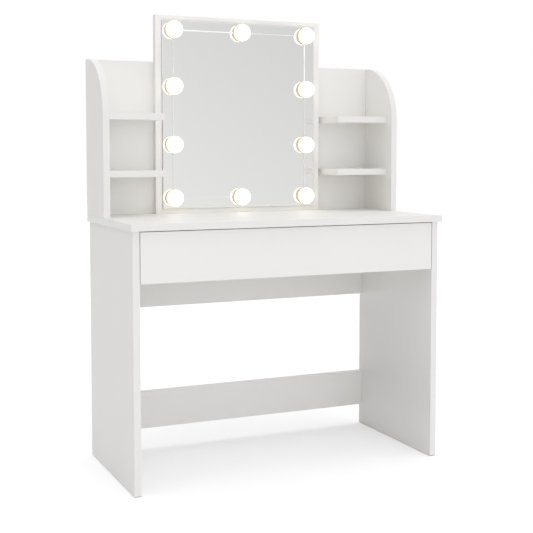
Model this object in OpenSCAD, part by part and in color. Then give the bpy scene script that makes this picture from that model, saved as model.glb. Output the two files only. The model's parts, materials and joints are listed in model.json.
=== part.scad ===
// Vanity table with a lit mirror: a one-drawer table of white melamine board, an open
// shelf hutch with rounded side panels, and a mirror board that carries ten stick-on lamps.
// Frame: +X right, the front faces -Y, +Z up. The origin is on the floor, under the
// middle of the tabletop. All sizes are in millimetres.

/* [Table] */
// Width of the tabletop
table_w = 1000; // [820:10:1240]
// Depth of the tabletop, front to back
table_d = 470; // [390:5:570]
// Height of the tabletop's upper face above the floor
table_h = 760; // [680:5:920]
// Thickness of every structural board
board_t = 20; // [18:1:24]
// How far the tabletop stands out past each leg panel
side_overhang = 8; // [2:1:20]
// How far the tabletop stands out past the leg panels' front edges
front_overhang = 15; // [4:1:30]

/* [Back rails] */
// Height of the upper back rail
upper_rail_h = 278; // [180:1:340]
// Height of the lower back rail
lower_rail_h = 120; // [100:1:160]
// Free height under the lower back rail
lower_rail_rise = 70; // [20:1:120]

/* [Drawer] */
// Height of the drawer front
drawer_front_h = 144; // [130:1:180]
// Gap between the drawer front and the tabletop above it
front_gap_top = 3; // [1.5:0.5:5]
// Gap between the drawer front and each leg panel
front_gap_side = 2; // [1:0.5:4]
// Height of the drawer's side boards
drawer_side_h = 100; // [90:1:120]
// Thickness of the drawer's side and back boards
drawer_wall = 12; // [12:1:16]
// Thickness of the drawer's hardboard bottom
drawer_bottom_t = 3; // [2.5:0.5:4]
// Depth of the groove that holds the drawer bottom
groove_depth = 5; // [3:0.5:6]
// Height of the groove above the side boards' lower edges
groove_rise = 10; // [6:1:11]
// Room behind the closed drawer, in front of the upper back rail
drawer_back_room = 15; // [8:1:40]

/* [Runners] */
// Free width beside the drawer for each roller runner
runner_space = 12.5; // [12.5:0.1:14]
// Height of the runners above the drawer front's lower edge
runner_rise = 13; // [8:1:20]
// Length of runner that stays engaged when the drawer is fully open
runner_overlap = 110; // [80:5:150]
// Thickness of the runners' folded steel
steel_t = 1.2; // [1:0.1:1.5]
// Radius of the nylon rollers
roller_r = 10.5; // [10:0.1:12]
// Running clearance between rollers and runners
roller_gap = 0.3; // [0.2:0.05:0.5]

/* [Hutch] */
// Height of the hutch above the tabletop
hutch_h = 480; // [400:5:580]
// Depth of the hutch's side panels
hutch_d = 195; // [165:5:240]
// Radius of the side panels' front top corner
corner_r = 180; // [20:5:200]
// Depth of the four small shelves
shelf_d = 142; // [100:1:160]
// Height of the lower shelves' undersides above the tabletop
lower_shelf_rise = 120; // [80:1:160]
// Height of the upper shelves' undersides above the tabletop
upper_shelf_rise = 293; // [240:1:360]
// Gap between a shelf's free end and the mirror board's edge
shelf_end_gap = 9; // [5:1:30]

/* [Mirror] */
// Width of the mirror board
mirror_board_w = 576; // [480:1:640]
// Height of the mirror board
mirror_board_h = 625; // [520:1:750]
// Thickness of the mirror glass
glass_t = 4; // [3:0.5:6]
// Board showing at the left and right of the glass
glass_side_margin = 22; // [8:1:40]
// Board showing above and below the glass
glass_end_margin = 15; // [8:1:40]
// Width of the ground bevel round the glass
glass_bevel = 1.5; // [0.5:0.25:2.5]

/* [Lamps] */
// Distance from the glass's side and bottom edges to the middle of the outer lamps
lamp_inset = 35; // [32:1:60]
// Distance from the glass's top edge to the middle of the top lamps
lamp_top_inset = 30.5; // [30:0.5:60]
// Height of the lower side lamps above the bottom row
lamp_row_2 = 169; // [120:1:200]
// Height of the upper side lamps above the bottom row
lamp_row_3 = 353; // [290:1:400]
// Radius of a lamp's base disc
lamp_base_r = 26.5; // [24:0.5:30]
// Thickness of a lamp's base disc
lamp_base_t = 9.5; // [6:0.5:12]
// Radius of the base's round collar, which the globe fits over
lamp_collar_r = 20; // [18:0.5:21]
// Gap between a lamp's base disc and its globe
globe_gap = 0.5; // [0.3:0.1:2]
// Radius of a lamp's opal globe
lamp_globe_r = 26.5; // [25:0.5:32]
// Wall of the opal globe
lamp_globe_wall = 1.6; // [1:0.1:2.5]
// How far behind the globe's middle its flat back lies
lamp_globe_cut = 6.5; // [4:0.5:10]
// Thickness of the adhesive foam pad under each lamp
pad_t = 1; // [0.5:0.1:2]
// Diameter of the cable between lamps
wire_d = 3; // [2:0.5:4]

/* [Fittings] */
// Radius of the cam housings
cam_r = 7.5; // [6:0.5:9]
// Distance from a board's end to the middle of its cam
cam_reach = 24; // [20:1:34]
// Radius of the hole that a cam bolt passes through
bolt_bore_r = 4; // [3.5:0.1:4.5]
// Radius of a cam bolt's threaded end
bolt_thread_r = 3; // [2.5:0.1:3.5]
// Depth of a cam bolt's threaded end
bolt_thread_l = 11; // [9:1:13]
// Radius of the carcass dowels
dowel_r = 4; // [3:0.5:5]
// Radius of the drawer's dowels
drawer_dowel_r = 3; // [2.5:0.5:4]
// Length of every dowel
dowel_l = 30; // [25:1:35]
// Spacing between neighbouring holes of a joint
hole_pitch = 32; // [24:1:40]

/* [Hidden] */
$fn = 64;
LAMP_COUNT = 10;

// Colours of the finishes
MELAMINE = [0.93, 0.93, 0.92];
HARDBOARD = [0.88, 0.87, 0.84];
MIRROR = [0.80, 0.83, 0.84];
OPAL = [1, 0.98, 0.92];
LAMP_TAN = [0.80, 0.66, 0.46];
CABLE_WHITE = [0.95, 0.94, 0.92];
PAD_GREY = [0.6, 0.6, 0.6];
BOARD_WHITE = [0.85, 0.88, 0.80];
STEEL_WHITE = [0.88, 0.88, 0.87];
NYLON = [0.80, 0.80, 0.78];
ZINC = [0.66, 0.67, 0.69];
BEECH = [0.80, 0.66, 0.47];

// Directions
RIGHT = [1, 0, 0];
FRONT = [0, -1, 0];
REAR = [0, 1, 0];
UP = [0, 0, 1];
DOWN = [0, 0, -1];

// Table: faces and middle planes of the boards
leg_h = table_h - board_t;
leg_out_x = table_w / 2 - side_overhang;
leg_in_x = leg_out_x - board_t;
leg_mid_x = leg_out_x - board_t / 2;
rear_y = table_d / 2;
leg_front_y = front_overhang - table_d / 2;
rail_front_y = rear_y - board_t;
rail_mid_y = rear_y - board_t / 2;
upper_rail_z = leg_h - upper_rail_h;
upper_rail_mid_z = upper_rail_z + upper_rail_h / 2;
lower_rail_mid_z = lower_rail_rise + lower_rail_h / 2;

// Drawer: the box hangs behind an inset front, between two roller runners
front_rear_y = leg_front_y + board_t;
drawer_front_z = leg_h - front_gap_top - drawer_front_h;
drawer_out_x = leg_in_x - runner_space;
drawer_in_x = drawer_out_x - drawer_wall;
drawer_mid_x = drawer_out_x - drawer_wall / 2;
drawer_rear_y = rail_front_y - drawer_back_room;
drawer_d = drawer_rear_y - front_rear_y;
runner_z = drawer_front_z + runner_rise;
drawer_side_z = runner_z + steel_t;
groove_z = drawer_side_z + groove_rise;
groove_play = 0.2;

// Runners, seen in section: u runs from the leg panel to the drawer, v runs up
runner_setback = 2;
runner_front_y = front_rear_y + runner_setback;
rivet_head_t = 1;
rivet_head_r = 4.5;
rivet_r = 2.5;
rivet_play = 0.08;
rivet_room = 0.5;
spacer_r = 3.6;
lip_h = 4;
roller_u0 = steel_t + rivet_room + rivet_head_t + roller_gap;
roller_u1 = runner_space - 2 * steel_t - 2 * roller_gap;
roller_v = steel_t + roller_gap + roller_r;
rail_v = steel_t + 2 * roller_gap + 2 * roller_r;
channel_top_v = rail_v + steel_t + roller_gap;
ledge_margin = 1;
stop_room = 3.5;
roller_inset = roller_r + stop_room;
cabinet_roller_y = runner_front_y + roller_inset;
drawer_roller_y = drawer_rear_y - roller_inset;
drawer_travel = drawer_d - runner_overlap;
stop_r = 3;
stop_reach = sqrt(pow(roller_r + stop_r, 2) - pow(roller_r + roller_gap, 2));
stop_y = drawer_roller_y - drawer_travel - stop_reach - roller_gap;

// Hutch
hutch_out_x = table_w / 2;
hutch_in_x = hutch_out_x - board_t;
hutch_front_y = rear_y - hutch_d;
back_front_y = rear_y - board_t;
hutch_corner_r = min(corner_r, hutch_d, hutch_h);
shelf_in_x = mirror_board_w / 2 + shelf_end_gap;
shelf_front_y = back_front_y - shelf_d;
shelf_rises = [lower_shelf_rise, upper_shelf_rise];

// Mirror board, glass and lamps
mirror_board_front_y = back_front_y - board_t;
glass_front_y = mirror_board_front_y - glass_t;
glass_w = mirror_board_w - 2 * glass_side_margin;
glass_h = mirror_board_h - 2 * glass_end_margin;
glass_z = table_h + glass_end_margin;
lamp_x = glass_w / 2 - lamp_inset;
lamp_z1 = glass_z + lamp_inset;
lamp_z2 = lamp_z1 + lamp_row_2;
lamp_z3 = lamp_z1 + lamp_row_3;
lamp_z4 = glass_z + glass_h - lamp_top_inset;
// The lamps in the order in which the cable joins them, as [x, z]
lamp_places = [
    [0, lamp_z1], [-lamp_x, lamp_z1], [-lamp_x, lamp_z2], [-lamp_x, lamp_z3], [-lamp_x, lamp_z4],
    [0, lamp_z4], [lamp_x, lamp_z4], [lamp_x, lamp_z3], [lamp_x, lamp_z2], [lamp_x, lamp_z1]];
lamp_rim_r = 1.5;
lamp_play = 0.3;
pad_margin = 7;
pad_r = lamp_base_r - pad_margin;
led_seat_h = 4;
led_board_t = 1.6;
collar_wall = 2;
led_board_r = lamp_collar_r - collar_wall;
led_size = 3;
led_ring_r = led_board_r * 0.6;
LED_COUNT = 6;
base_top = pad_t + lamp_base_t;
globe_back = base_top + globe_gap;
globe_mid = globe_back + lamp_globe_cut;
collar_rise = 1.5;
collar_top = globe_back + lamp_globe_wall + collar_rise;
wire_entry = 5;

// Fittings: sizes of the pieces
overcut = 1;
cam_past_middle = 3.5;
cross_l = 6;
cross_w = 1.2;
cross_depth = 2;
bolt_neck_r = 2;
bolt_head_r = 3.4;
dowel_play = 0.5;
dowel_chamfer = 0.8;
drawer_screw_r = 1.75;
drawer_screw_head_r = 3.6;
screw_cross_w = 0.9;
screw_cross_depth = 1.2;
confirmat_r = 3.5;
confirmat_head_r = 5;
confirmat_l = 50;
socket_r = 2.3;
socket_depth = 3;
slot_w = 4;
slot_l = 9;
board_screw_l = board_t + 15;
runner_screw_l = 16;
drawer_runner_screw_l = 11;
drawer_back_screw_l = 30;
bottom_screw_l = 15;
roller_rim_round = 0.6;
roller_rim_w = 2;
roller_hub_r = 4.6;
roller_recess = 1.5;

// Fittings: their places along the boards
leg_cam_inset = 70;
rail_cam_x = table_w / 4;
upper_rail_cam_zs = [upper_rail_z + 50, leg_h - 60];
back_mid_z = table_h + hutch_h / 2;
back_cam_zs = [table_h + 90, table_h + hutch_h - 60];
shelf_dowel_inset = 35;
hutch_screw_inset = 45;
back_screw_x = hutch_in_x - 100;
shelf_screw_inset = 45;
mirror_screw_x = mirror_board_w / 2 - 60;
mirror_screw_zs = [table_h + 70, table_h + hutch_h - 70];
drawer_cam_zs = [drawer_side_z + 30, drawer_side_z + drawer_side_h - 18];
drawer_dowel_z = drawer_side_z + drawer_side_h / 2 + 6;
drawer_back_screw_zs = [drawer_side_z + 40, drawer_side_z + drawer_side_h - 20];
bottom_screw_x = drawer_in_x - 60;
runner_screw_z = runner_z + roller_v;
groove_clearance = 1.5;
drawer_screw_z = groove_z + drawer_bottom_t + groove_play + drawer_screw_r + groove_clearance;
cabinet_screw_ys = [runner_front_y + 45, runner_front_y + drawer_d / 2, runner_front_y + drawer_d - 30];
drawer_screw_ys = [front_rear_y + 40, front_rear_y + drawer_d / 2, drawer_rear_y - 50];

// Spare slots stand one hole pitch from the screws, towards the middle of the runner
function slot_ys(screw_ys) = [screw_ys[0] + hole_pitch, screw_ys[1] + hole_pitch, screw_ys[2] - hole_pitch];
cabinet_slot_ys = slot_ys(cabinet_screw_ys);
drawer_slot_ys = slot_ys(drawer_screw_ys);

// ---------------------------------------------------------------- shapes

// Rotation that turns +Z to the given direction along one of the axes
function turn_to(d) = d.z > 0 ? [0, 0, 0] : d.z < 0 ? [180, 0, 0] : [0, 90, atan2(d.y, d.x)];

// Straight rod of radius r and length l from point p, along direction d
module rod(p, d, r, l) {
    translate(p) rotate(turn_to(d)) cylinder(r = r, h = l);
}

// Box between two opposite corners
module box(a, b) {
    translate(a) cube(b - a);
}

// Extrudes a shape drawn in (x, z) from y0 to y1
module along_y(y0, y1) {
    translate([0, y1, 0]) rotate([90, 0, 0]) linear_extrude(y1 - y0) children();
}

// Extrudes a shape drawn in (y, z) from x0 to x1
module along_x(x0, x1) {
    translate([x0, 0, 0]) rotate([90, 0, 90]) linear_extrude(x1 - x0) children();
}

// Draws its children as they are on the left side, or mirrored on the right side
module on_side(side) {
    mirror([side > 0 ? 1 : 0, 0, 0]) children();
}

// ---------------------------------------------------------------- fittings

// A cam joint is [point, bolt direction, cam face, board thickness]: the point lies where the
// board's end meets its mate, the bolt runs from there into the board that holds the cam,
// and the cam is let in from the face whose outward direction is given.

function leg_top_cams() = [
    for (side = [-1, 1], y = [leg_front_y + leg_cam_inset, rear_y - leg_cam_inset])
        [[side * leg_mid_x, y, leg_h], DOWN, [-side, 0, 0], board_t]];

function rail_end_cams() = [
    for (side = [-1, 1], z = concat(upper_rail_cam_zs, [lower_rail_mid_z]))
        [[side * leg_in_x, rail_mid_y, z], [-side, 0, 0], REAR, board_t]];

function rail_top_cams() = [
    for (side = [-1, 1]) [[side * rail_cam_x, rail_mid_y, leg_h], DOWN, REAR, board_t]];

function back_end_cams() = [
    for (side = [-1, 1], z = back_cam_zs)
        [[side * hutch_in_x, rail_mid_y, z], [-side, 0, 0], REAR, board_t]];

function drawer_front_cams() = [
    for (side = [-1, 1], z = drawer_cam_zs)
        [[side * drawer_mid_x, front_rear_y, z], REAR, [-side, 0, 0], drawer_wall]];

function carcass_cams() = concat(leg_top_cams(), rail_end_cams(), rail_top_cams(), back_end_cams());

function cam_centre(fit) = fit[0] + fit[1] * cam_reach;
function cam_depth(fit) = fit[3] / 2 + cam_past_middle;

// Hole for the cam, the bolt's bore behind it and the threaded hole in the mate
module cam_joint_cavity(fit) {
    rod(cam_centre(fit) + fit[2] * (fit[3] / 2 + overcut), -fit[2], cam_r, cam_depth(fit) + overcut);
    rod(fit[0], fit[1], bolt_bore_r, cam_reach);
    rod(fit[0] + fit[1] * overcut, -fit[1], bolt_thread_r, bolt_thread_l + overcut);
}

// Round cam with a screwdriver cross in its face and a mouth that takes the bolt's head
module cam_housing(fit) {
    difference() {
        rod(cam_centre(fit) + fit[2] * (fit[3] / 2), -fit[2], cam_r, cam_depth(fit));
        rod(fit[0], fit[1], bolt_bore_r, cam_reach);
        translate(cam_centre(fit)) sphere(r = bolt_bore_r);
        for (turn = [45, 135]) {
            translate(cam_centre(fit) + fit[2] * (fit[3] / 2)) rotate(turn_to(fit[2]))
                rotate(turn) cube([cross_l, cross_w, 2 * cross_depth], center = true);
        }
    }
}

// Connecting bolt: a thread in the mate, a thin neck and a round head inside the cam
module cam_bolt(fit) {
    rod(fit[0], -fit[1], bolt_thread_r, bolt_thread_l);
    rod(fit[0], fit[1], bolt_neck_r, cam_reach);
    translate(cam_centre(fit)) sphere(r = bolt_head_r);
}

// A dowel is [point, direction, radius]: half of it lies on each side of the point
function leg_top_dowels() = [
    for (fit = leg_top_cams()) [fit[0] - REAR * sign(fit[0].y) * hole_pitch, UP, dowel_r]];

function rail_end_dowels() = [
    for (side = [-1, 1],
         z = concat([for (c = upper_rail_cam_zs) c + hole_pitch * sign(upper_rail_mid_z - c)],
                    [for (s = [-1, 1]) lower_rail_mid_z + s * hole_pitch]))
        [[side * leg_in_x, rail_mid_y, z], RIGHT, dowel_r]];

function rail_top_dowels() = [
    for (fit = rail_top_cams()) [fit[0] - RIGHT * sign(fit[0].x) * hole_pitch, UP, dowel_r]];

function back_end_dowels() = [
    for (side = [-1, 1], z = [for (c = back_cam_zs) c + hole_pitch * sign(back_mid_z - c)])
        [[side * hutch_in_x, rail_mid_y, z], RIGHT, dowel_r]];

function shelf_dowels() = [
    for (side = [-1, 1], rise = shelf_rises, y = [shelf_front_y + shelf_dowel_inset,
                                                  back_front_y - shelf_dowel_inset])
        [[side * hutch_in_x, y, table_h + rise + board_t / 2], RIGHT, dowel_r]];

function drawer_front_dowels() = [
    for (side = [-1, 1]) [[side * drawer_mid_x, front_rear_y, drawer_dowel_z], REAR, drawer_dowel_r]];

function carcass_dowels() = concat(leg_top_dowels(), rail_end_dowels(), rail_top_dowels(),
                                   back_end_dowels());

module dowel_cavity(peg) {
    rod(peg[0] - peg[1] * (dowel_l / 2 + dowel_play), peg[1], peg[2], dowel_l + 2 * dowel_play);
}

// Beech dowel with chamfered ends
module dowel(peg) {
    translate(peg[0] - peg[1] * (dowel_l / 2)) rotate(turn_to(peg[1])) rotate_extrude()
        polygon([[0, 0], [peg[2] - dowel_chamfer, 0], [peg[2], dowel_chamfer],
                 [peg[2], dowel_l - dowel_chamfer], [peg[2] - dowel_chamfer, dowel_l], [0, dowel_l]]);
}

// A screw is [point on the surface it is driven from, direction it is driven in]
function hutch_side_screws() = [
    for (side = [-1, 1], y = [hutch_front_y + hutch_screw_inset, rear_y - hutch_screw_inset])
        [[side * (hutch_out_x - board_t / 2), y, leg_h], UP]];

function back_foot_screws() = [
    for (x = [-back_screw_x, 0, back_screw_x]) [[x, rail_mid_y, leg_h], UP]];

function shelf_screws() = [
    for (side = [-1, 1], rise = shelf_rises, x = [shelf_in_x + shelf_screw_inset,
                                                  hutch_in_x - shelf_screw_inset])
        [[side * x, rear_y, table_h + rise + board_t / 2], FRONT]];

function mirror_board_screw_places() = [
    for (x = [-mirror_screw_x, mirror_screw_x], z = mirror_screw_zs) [[x, rear_y, z], FRONT]];

function cabinet_runner_screw_places(side) = [
    for (y = cabinet_screw_ys) [[side * (leg_in_x - steel_t), y, runner_screw_z], [side, 0, 0]]];

function drawer_runner_screw_places(side) = [
    for (y = drawer_screw_ys)
        [[side * (drawer_out_x + steel_t), y, drawer_screw_z], [-side, 0, 0]]];

function drawer_back_screws() = [
    for (side = [-1, 1], z = drawer_back_screw_zs)
        [[side * drawer_out_x, drawer_rear_y - drawer_wall / 2, z], [-side, 0, 0]]];

function drawer_bottom_screws() = [
    for (x = [-bottom_screw_x, 0, bottom_screw_x]) [[x, drawer_rear_y - drawer_wall / 2, groove_z], UP]];

// Solid form of a countersunk screw; the same form is its hole
module screw_form(screw, head_r, shank_r, l) {
    translate(screw[0]) rotate(turn_to(screw[1])) {
        cylinder(r1 = head_r, r2 = shank_r, h = head_r - shank_r);
        cylinder(r = shank_r, h = l);
    }
}

module confirmat_form(screw) {
    screw_form(screw, confirmat_head_r, confirmat_r, confirmat_l);
}

// Confirmat screw with a six-sided socket in its head
module confirmat(screw) {
    difference() {
        confirmat_form(screw);
        translate(screw[0] - screw[1] * overcut) rotate(turn_to(screw[1]))
            cylinder(r = socket_r, h = overcut + socket_depth, $fn = 6);
    }
}

module wood_screw_form(screw, l) {
    screw_form(screw, drawer_screw_head_r, drawer_screw_r, l);
}

// Chipboard screw with a cross recess in its countersunk head
module wood_screw(screw, l) {
    difference() {
        wood_screw_form(screw, l);
        for (turn = [0, 90]) {
            translate(screw[0]) rotate(turn_to(screw[1])) rotate(turn)
                cube([drawer_screw_head_r, screw_cross_w, 2 * screw_cross_depth], center = true);
        }
    }
}

// ---------------------------------------------------------------- table

// Board cut out by every fitting that enters it
module drilled(cams = [], dowels = [], confirmats = [], screws = [], screw_l = 0) {
    difference() {
        children();
        for (fit = cams) cam_joint_cavity(fit);
        for (peg = dowels) dowel_cavity(peg);
        for (screw = confirmats) confirmat_form(screw);
        for (screw = screws) wood_screw_form(screw, screw_l);
    }
}

module tabletop() {
    color(MELAMINE)
        drilled(concat(leg_top_cams(), rail_top_cams()), concat(leg_top_dowels(), rail_top_dowels()),
                concat(hutch_side_screws(), back_foot_screws()))
        box([-table_w / 2, -table_d / 2, leg_h], [table_w / 2, rear_y, table_h]);
}

module leg_panel(side) {
    color(MELAMINE)
        drilled(concat(leg_top_cams(), rail_end_cams()), concat(leg_top_dowels(), rail_end_dowels()),
                screws = cabinet_runner_screw_places(side), screw_l = runner_screw_l)
        on_side(side) box([-leg_out_x, leg_front_y, 0], [-leg_in_x, rear_y, leg_h]);
}

module leg_panel_left() { leg_panel(-1); }
module leg_panel_right() { leg_panel(1); }

module upper_back_rail() {
    color(MELAMINE)
        drilled(concat(rail_end_cams(), rail_top_cams()), concat(rail_end_dowels(), rail_top_dowels()))
        box([-leg_in_x, rail_front_y, upper_rail_z], [leg_in_x, rear_y, leg_h]);
}

module lower_back_rail() {
    color(MELAMINE) drilled(rail_end_cams(), rail_end_dowels())
        box([-leg_in_x, rail_front_y, lower_rail_rise], [leg_in_x, rear_y, lower_rail_rise + lower_rail_h]);
}

// ---------------------------------------------------------------- hutch and mirror

// Side panel outline in (y, z): a rectangle whose front top corner is a wide quarter circle
module hutch_side_outline() {
    top_z = table_h + hutch_h;
    translate([hutch_front_y + hutch_corner_r, top_z - hutch_corner_r])
        circle(r = hutch_corner_r, $fn = 180);
    translate([hutch_front_y, table_h]) square([hutch_d, hutch_h - hutch_corner_r]);
    if (hutch_d > hutch_corner_r)
        translate([hutch_front_y + hutch_corner_r, table_h]) square([hutch_d - hutch_corner_r, hutch_h]);
}

module hutch_side(side) {
    color(MELAMINE) drilled(back_end_cams(), concat(back_end_dowels(), shelf_dowels()), hutch_side_screws())
        on_side(side) along_x(-hutch_out_x, -hutch_in_x) intersection() {
            hutch_side_outline();
            translate([hutch_front_y, table_h]) square([hutch_d, hutch_h]);
        }
}

module hutch_side_left() { hutch_side(-1); }
module hutch_side_right() { hutch_side(1); }

module hutch_back_panel() {
    color(MELAMINE) drilled(back_end_cams(), back_end_dowels(), concat(back_foot_screws(), shelf_screws()),
                            mirror_board_screw_places(), board_screw_l)
        box([-hutch_in_x, back_front_y, table_h], [hutch_in_x, rear_y, table_h + hutch_h]);
}

module shelf(side, rise) {
    color(MELAMINE) drilled(dowels = shelf_dowels(), confirmats = shelf_screws())
        on_side(side) box([-hutch_in_x, shelf_front_y, table_h + rise],
                          [-shelf_in_x, back_front_y, table_h + rise + board_t]);
}

module shelf_left_lower() { shelf(-1, lower_shelf_rise); }
module shelf_left_upper() { shelf(-1, upper_shelf_rise); }
module shelf_right_lower() { shelf(1, lower_shelf_rise); }
module shelf_right_upper() { shelf(1, upper_shelf_rise); }

module mirror_board() {
    color(MELAMINE) drilled(screws = mirror_board_screw_places(), screw_l = board_screw_l)
        box([-mirror_board_w / 2, mirror_board_front_y, table_h],
            [mirror_board_w / 2, back_front_y, table_h + mirror_board_h]);
}

// Corner cut of the glass's bevel, along an edge of length l that starts at the origin
module bevel_cut(l) {
    translate([0, 0, -overcut]) linear_extrude(l + 2 * overcut)
        rotate(45) square(glass_bevel * sqrt(2), center = true);
}

module mirror_glass() {
    x = glass_w / 2;
    color(MIRROR) difference() {
        box([-x, glass_front_y, glass_z], [x, mirror_board_front_y, glass_z + glass_h]);
        for (side = [-1, 1]) translate([side * x, glass_front_y, glass_z]) bevel_cut(glass_h);
        for (z = [glass_z, glass_z + glass_h])
            translate([-x, glass_front_y, z]) rotate([0, 90, 0]) bevel_cut(glass_w);
    }
}

// ---------------------------------------------------------------- lamps

// Puts its children on the glass at lamp i, with +Z pointing out of the mirror
module at_lamp(i) {
    translate([lamp_places[i].x, glass_front_y, lamp_places[i].y]) rotate([90, 0, 0]) children();
}

// Direction from lamp i to lamp j on the glass, as a turn about the lamp's own axis
function lamp_turn(i, j) = atan2(lamp_places[j].y - lamp_places[i].y, lamp_places[j].x - lamp_places[i].x);

// The neighbours that a cable joins lamp i to
function cable_mates(i) = [for (j = [i - 1, i + 1]) if (j >= 0 && j < LAMP_COUNT) j];

// Base disc with a rounded front rim, a seat for the LED board and the collar of the globe
module lamp_base(i) {
    color(LAMP_TAN) at_lamp(i) difference() {
        union() {
            translate([0, 0, pad_t]) rotate_extrude() {
                square([lamp_base_r - lamp_rim_r, lamp_base_t]);
                square([lamp_base_r, lamp_base_t - lamp_rim_r]);
                translate([lamp_base_r - lamp_rim_r, lamp_base_t - lamp_rim_r]) circle(r = lamp_rim_r);
            }
            translate([0, 0, pad_t]) cylinder(r = lamp_collar_r, h = collar_top - pad_t);
        }
        translate([0, 0, pad_t + led_seat_h]) cylinder(r = led_board_r + lamp_play, h = collar_top);
        for (j = cable_mates(i)) {
            rotate(lamp_turn(i, j)) translate([lamp_base_r - wire_entry, 0, wire_d / 2]) rotate([0, 90, 0])
                cylinder(r = wire_d / 2 + lamp_play / 2, h = wire_entry + overcut);
        }
    }
}

// Hollow opal globe, cut flat behind and open where the collar enters
module lamp_globe(i) {
    color(OPAL) at_lamp(i) rotate_extrude() intersection() {
        difference() {
            translate([0, globe_mid]) circle(r = lamp_globe_r, $fn = 96);
            intersection() {
                translate([0, globe_mid]) circle(r = lamp_globe_r - lamp_globe_wall, $fn = 96);
                translate([0, globe_back + lamp_globe_wall]) square(2 * lamp_globe_r);
            }
            square([lamp_collar_r + lamp_play, globe_mid]);
        }
        translate([0, globe_back]) square(2 * lamp_globe_r);
    }
}

// One round board in each lamp, with a ring of LEDs and one in the middle
module lamp_led_boards() {
    color(BOARD_WHITE) for (i = [0 : LAMP_COUNT - 1]) {
        at_lamp(i) translate([0, 0, pad_t + led_seat_h]) {
            cylinder(r = led_board_r, h = led_board_t);
            for (k = [0 : LED_COUNT]) {
                rotate(k * 360 / LED_COUNT) translate([k < LED_COUNT ? led_ring_r : 0, 0, led_board_t])
                    cube([led_size, led_size, led_size / 2], center = true);
            }
        }
    }
}

module lamp_pads() {
    color(PAD_GREY) for (i = [0 : LAMP_COUNT - 1]) {
        at_lamp(i) cylinder(r = pad_r, h = pad_t);
    }
}

// Cable from each lamp to the next, lying on the glass
module lamp_wires() {
    color(CABLE_WHITE) for (i = [0 : LAMP_COUNT - 2]) {
        span = norm(lamp_places[i + 1] - lamp_places[i]);
        at_lamp(i) rotate(lamp_turn(i, i + 1)) translate([lamp_base_r - wire_entry, 0, wire_d / 2])
            rotate([0, 90, 0]) cylinder(r = wire_d / 2, h = span - 2 * (lamp_base_r - wire_entry));
    }
}

// ---------------------------------------------------------------- carcass fittings

module cam_housings() {
    color(ZINC) for (fit = carcass_cams()) cam_housing(fit);
}

module cam_bolts() {
    color(ZINC) for (fit = carcass_cams()) cam_bolt(fit);
}

module wood_dowels() {
    color(BEECH) for (peg = concat(carcass_dowels(), shelf_dowels())) dowel(peg);
}

module confirmat_screws() {
    color(ZINC) for (screw = concat(hutch_side_screws(), back_foot_screws(), shelf_screws())) {
        confirmat(screw);
    }
}

module mirror_board_screws() {
    color(ZINC) for (screw = mirror_board_screw_places()) wood_screw(screw, board_screw_l);
}

module cabinet_runner_screws() {
    color(ZINC) for (side = [-1, 1], screw = cabinet_runner_screw_places(side)) {
        wood_screw(screw, runner_screw_l);
    }
}

// ---------------------------------------------------------------- runners

// Places (u, v) sections beside the left leg panel
module runner_frame() {
    translate([-leg_in_x, 0, runner_z]) children();
}

// Quarter round of a folded corner: the inner corner is at p and the quadrant is [+-1, +-1]
module fold(p, quadrant) {
    translate(p) intersection() {
        circle(r = steel_t);
        mirror([quadrant.x < 0 ? 1 : 0, 0]) mirror([0, quadrant.y < 0 ? 1 : 0]) square(steel_t);
    }
}

// Channel fixed to the leg panel: a web, a lower track with an upturned lip, a short top flange
module cabinet_runner_section() {
    track_end = runner_space - steel_t - roller_gap;
    top_end = track_end - 2 * steel_t;
    translate([0, steel_t]) square([steel_t, channel_top_v - steel_t]);
    translate([steel_t, 0]) square([track_end - 2 * steel_t, steel_t]);
    translate([track_end - steel_t, steel_t]) square([steel_t, lip_h - steel_t]);
    translate([steel_t, channel_top_v]) square([top_end - steel_t, steel_t]);
    fold([steel_t, steel_t], [-1, -1]);
    fold([track_end - steel_t, steel_t], [1, -1]);
    fold([steel_t, channel_top_v], [-1, 1]);
}

// Member fixed to the drawer side: a ledge under the board, a web, a rail that rides the roller
module drawer_runner_web() {
    translate([runner_space - steel_t, steel_t]) square([steel_t, rail_v - steel_t]);
    translate([runner_space, 0]) square([drawer_wall - ledge_margin, steel_t]);
    fold([runner_space, steel_t], [-1, -1]);
}

module drawer_runner_rail() {
    translate([roller_u0, rail_v]) square([runner_space - steel_t - roller_u0, steel_t]);
    fold([runner_space - steel_t, rail_v], [1, 1]);
}

// Spare fixing slot through a web at (y, z); along is 1 for a level slot and 0 for an upright one
module spare_slot(u, y, z, along) {
    way = along ? REAR : UP;
    translate([-leg_in_x + u - overcut, y, z]) for (end = [-1, 1]) {
        rod(way * end * (slot_l - slot_w) / 2, RIGHT, slot_w / 2, steel_t + 2 * overcut);
    }
    middle = (slot_w * [0, 1, 1] + way * (slot_l - 2 * slot_w)) / 2;
    box([-leg_in_x + u - overcut, y, z] - middle,
        [-leg_in_x + u + steel_t + overcut, y, z] + middle);
}

// Rivet that carries a roller: it stands on a web at u = from and points towards u = to
module roller_rivet(y, from, to) {
    way = sign(to - from);
    foot = way > 0 ? roller_u0 - roller_gap : roller_u1 + roller_gap;
    head = way > 0 ? roller_u1 + roller_gap : roller_u0 - roller_gap;
    rod([from, y, roller_v], [way, 0, 0], spacer_r, abs(foot - from));
    rod([from, y, roller_v], [way, 0, 0], rivet_r, abs(to - from));
    rod([head, y, roller_v], [way, 0, 0], rivet_head_r, rivet_head_t);
}

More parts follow.
